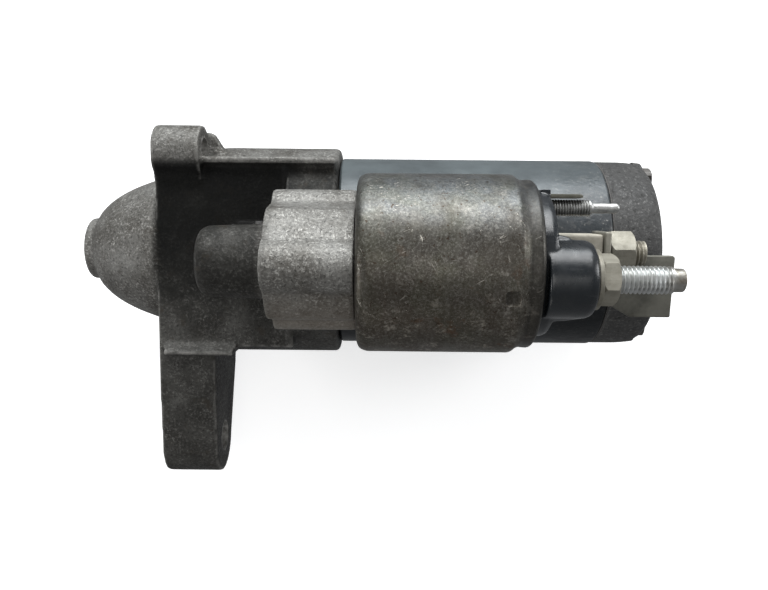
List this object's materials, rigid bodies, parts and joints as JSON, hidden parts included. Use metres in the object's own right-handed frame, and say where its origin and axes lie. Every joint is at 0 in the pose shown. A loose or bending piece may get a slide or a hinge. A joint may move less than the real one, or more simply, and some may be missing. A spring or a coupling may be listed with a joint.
{
  "type": "starter motor",
  "caption": "Car starter motor: closed-nose cast housing with flange ear and leg, geared electric motor, and a solenoid with threaded terminals on top.",
  "frame": {"origin": "on the armature axis, in the plane of the mounting flange's front face", "axes": "+X along the armature axis from the nose to the rear cover, +Z from the armature axis to the solenoid's axis, +Y to the upper ear, away from the leg"},
  "size_m": [0.2127, 0.1275, 0.1306],
  "materials": {
    "cast_dark": "rough cast, worn and dirty",
    "bronze": "sintered bush",
    "yoke_paint": "dark paint, dull and dusty",
    "cover_cast": "rough dark paint",
    "steel_dark": "dull steel",
    "steel_bright": "bright steel",
    "ferrite": "ferrite magnet",
    "copper": "copper",
    "carbon": "copper graphite",
    "nylon": "glass filled nylon",
    "gear_steel": "ground and oiled",
    "can_steel": "worn zinc with rust spots",
    "black_plastic": "glossy black moulding",
    "rubber": "dusty rubber",
    "zinc_bright": "bright zinc",
    "zinc_yellow": "dusty yellow zinc",
    "enamel": "enamelled copper wire"
  },
  "bodies": {
    "root": {"battery_nut": "zinc_yellow", "battery_stud": "zinc_bright", "battery_washer": "zinc_yellow", "brush_1": "carbon", "brush_2": "carbon", "brush_3": "carbon", "brush_4": "carbon", "brush_holder": "nylon", "brush_spring_1": "steel_bright", "brush_spring_2": "steel_bright", "brush_spring_3": "steel_bright", "brush_spring_4": "steel_bright", "cap_gasket": "rubber", "drive_end_housing": "cast_dark", "fork_pin": "steel_bright", "gear_plate": "steel_dark", "lead_grommet": "rubber", "lever_seal": "rubber", "magnet_1": "ferrite", "magnet_2": "ferrite", "magnet_3": "ferrite", "magnet_4": "ferrite", "motor_lead": "zinc_yellow", "motor_nut": "zinc_yellow", "motor_stud": "zinc_yellow", "nose_bush": "bronze", "rear_bush": "bronze", "rear_cover": "cover_cast", "return_spring": "steel_bright", "ring_gear": "nylon", "solenoid_can": "can_steel", "solenoid_cap": "black_plastic", "solenoid_coil": "enamel", "solenoid_core": "steel_dark", "solenoid_screw_1": "steel_dark", "solenoid_screw_2": "steel_dark", "solenoid_screw_3": "steel_dark", "through_bolt_1": "steel_dark", "through_bolt_2": "steel_dark", "trigger_stud": "zinc_bright", "trigger_tab": "steel_dark", "yoke": "yoke_paint"},
    "armature": {"armature_shaft": "gear_steel", "armature_core": "steel_dark", "armature_winding": "copper", "commutator": "copper"},
    "drive_shaft": {"drive_shaft": "gear_steel", "stop_ring": "steel_dark"},
    "planet_1": {"planet_gear_1": "gear_steel"},
    "planet_2": {"planet_gear_2": "gear_steel"},
    "planet_3": {"planet_gear_3": "gear_steel"},
    "clutch": {"clutch_shell": "gear_steel", "shift_collar": "nylon"},
    "pinion": {"pinion": "gear_steel"},
    "plunger": {"plunger": "steel_bright", "plunger_hook": "steel_dark"},
    "contact": {"contact_rod": "nylon", "contact_disc": "copper"},
    "fork": {"fork_lever": "steel_dark"}
  },
  "joints": [
    {"name": "plunger_slide", "type": "slide", "parent": "root", "child": "plunger", "axis": [1, 0, 0], "range_m": [0, 0.011], "stiffness_N_per_m": 1200, "springref_m": -0.012, "deforming": ["return_spring"]},
    {"name": "fork_swing", "type": "hinge", "parent": "root", "child": "fork", "pos_m": [0.0385, 0, 0.033], "axis": [0, 1, 0], "range_deg": [-1, 20]},
    {"name": "armature_spin", "type": "hinge", "parent": "root", "child": "armature", "pos_m": [0.1, 0, 0], "axis": [1, 0, 0], "continuous": true},
    {"name": "drive_shaft_spin", "type": "hinge", "parent": "root", "child": "drive_shaft", "pos_m": [0, 0, 0], "axis": [1, 0, 0], "continuous": true},
    {"name": "planet_1_spin", "type": "hinge", "parent": "drive_shaft", "child": "planet_1", "pos_m": [0.0656, 0, 0.0135], "axis": [1, 0, 0], "continuous": true},
    {"name": "planet_2_spin", "type": "hinge", "parent": "drive_shaft", "child": "planet_2", "pos_m": [0.0656, -0.01169, -0.00675], "axis": [1, 0, 0], "continuous": true},
    {"name": "planet_3_spin", "type": "hinge", "parent": "drive_shaft", "child": "planet_3", "pos_m": [0.0656, 0.01169, -0.00675], "axis": [1, 0, 0], "continuous": true},
    {"name": "clutch_slide", "type": "slide", "parent": "drive_shaft", "child": "clutch", "axis": [-1, 0, 0], "range_m": [0, 0.011]},
    {"name": "pinion_overrun", "type": "hinge", "parent": "clutch", "child": "pinion", "pos_m": [0.005, 0, 0], "axis": [1, 0, 0], "continuous": true},
    {"name": "contact_slide", "type": "slide", "parent": "root", "child": "contact", "axis": [1, 0, 0], "range_m": [0, 0.0022]}
  ],
  "couplings": [
    {"joint": "fork_swing", "follows": "plunger_slide", "rad_per_m": 30.303},
    {"joint": "clutch_slide", "follows": "plunger_slide", "ratio": 1},
    {"joint": "contact_slide", "follows": "plunger_slide", "ratio": 0.2},
    {"joint": "drive_shaft_spin", "follows": "armature_spin", "ratio": 0.22222},
    {"joint": "planet_1_spin", "follows": "armature_spin", "ratio": -0.62222},
    {"joint": "planet_2_spin", "follows": "armature_spin", "ratio": -0.62222},
    {"joint": "planet_3_spin", "follows": "armature_spin", "ratio": -0.62222}
  ]
}
